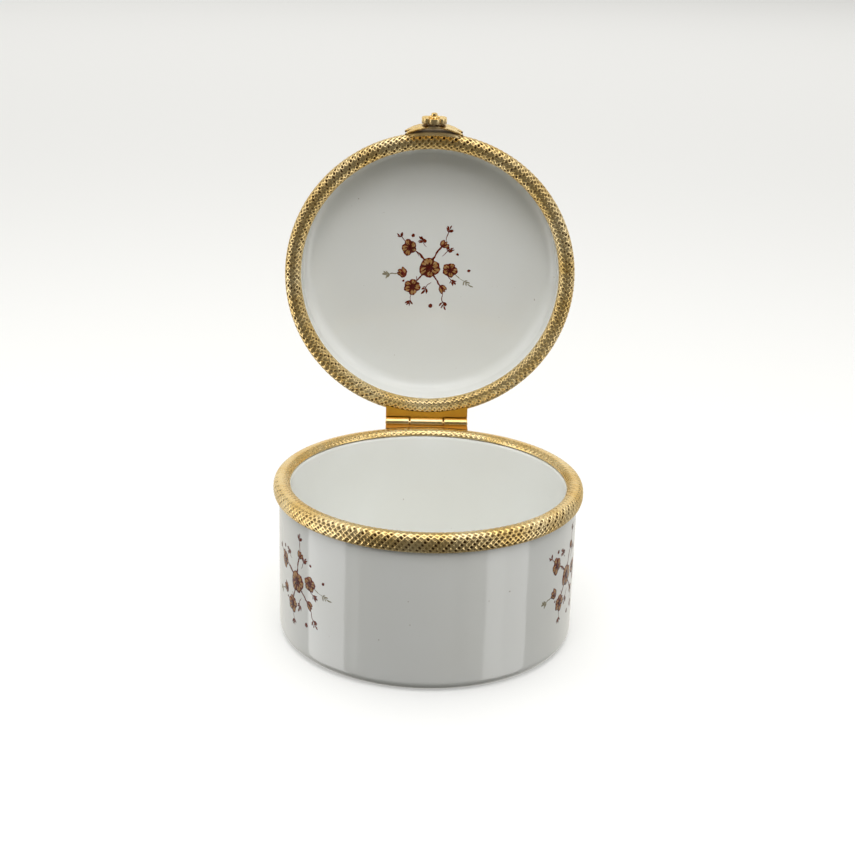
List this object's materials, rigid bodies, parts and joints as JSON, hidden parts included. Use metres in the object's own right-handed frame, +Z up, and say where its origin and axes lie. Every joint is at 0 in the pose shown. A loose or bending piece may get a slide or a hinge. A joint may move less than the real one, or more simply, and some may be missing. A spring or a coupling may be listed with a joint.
{
  "type": "trinket box",
  "caption": "Round glazed porcelain box with a hinged lid, embossed gilt brass bezels on both rims and a sprung flower clasp.",
  "frame": {"origin": "centre of the flat foot under the cup, on the surface that the box stands on", "axes": "+Z up through the middle of the cup; -Y towards the clasp and the front; the hinge pin lies along X at +Y"},
  "size_m": [0.065, 0.0778, 0.1053],
  "materials": {
    "glazed_porcelain": "clear gloss glaze over white porcelain, with a small overglaze flower spray in iron red and ochre",
    "gilt_bezel": "gilt brass embossed with a diamond lattice, dark in the hollows and bright on the ridges",
    "gilt_hinge": "smooth polished gilt brass",
    "gilt_clasp": "cast gilt brass, dark in the hollows",
    "cement": "matt off-white cement"
  },
  "bodies": {
    "cup": {"porcelain_cup": "glazed_porcelain", "cup_bezel": "gilt_bezel", "cup_bezel_cement": "cement", "cup_hinge_bearer": "gilt_hinge", "cup_knuckle_left": "gilt_hinge", "cup_knuckle_right": "gilt_hinge", "hinge_pin": "gilt_hinge"},
    "lid": {"porcelain_lid": "glazed_porcelain", "lid_bezel": "gilt_bezel", "lid_bezel_cement": "cement", "lid_hinge_bearer": "gilt_hinge", "lid_knuckle_centre": "gilt_hinge", "clasp_plate": "gilt_clasp", "clasp_leaves": "gilt_clasp", "clasp_flower": "gilt_clasp"}
  },
  "joints": [
    {"name": "lid_hinge", "type": "hinge", "parent": "cup", "child": "lid", "pos_m": [0, 0.0342, 0.0341], "axis": [1, 0, 0], "range_deg": [0, 88]}
  ]
}
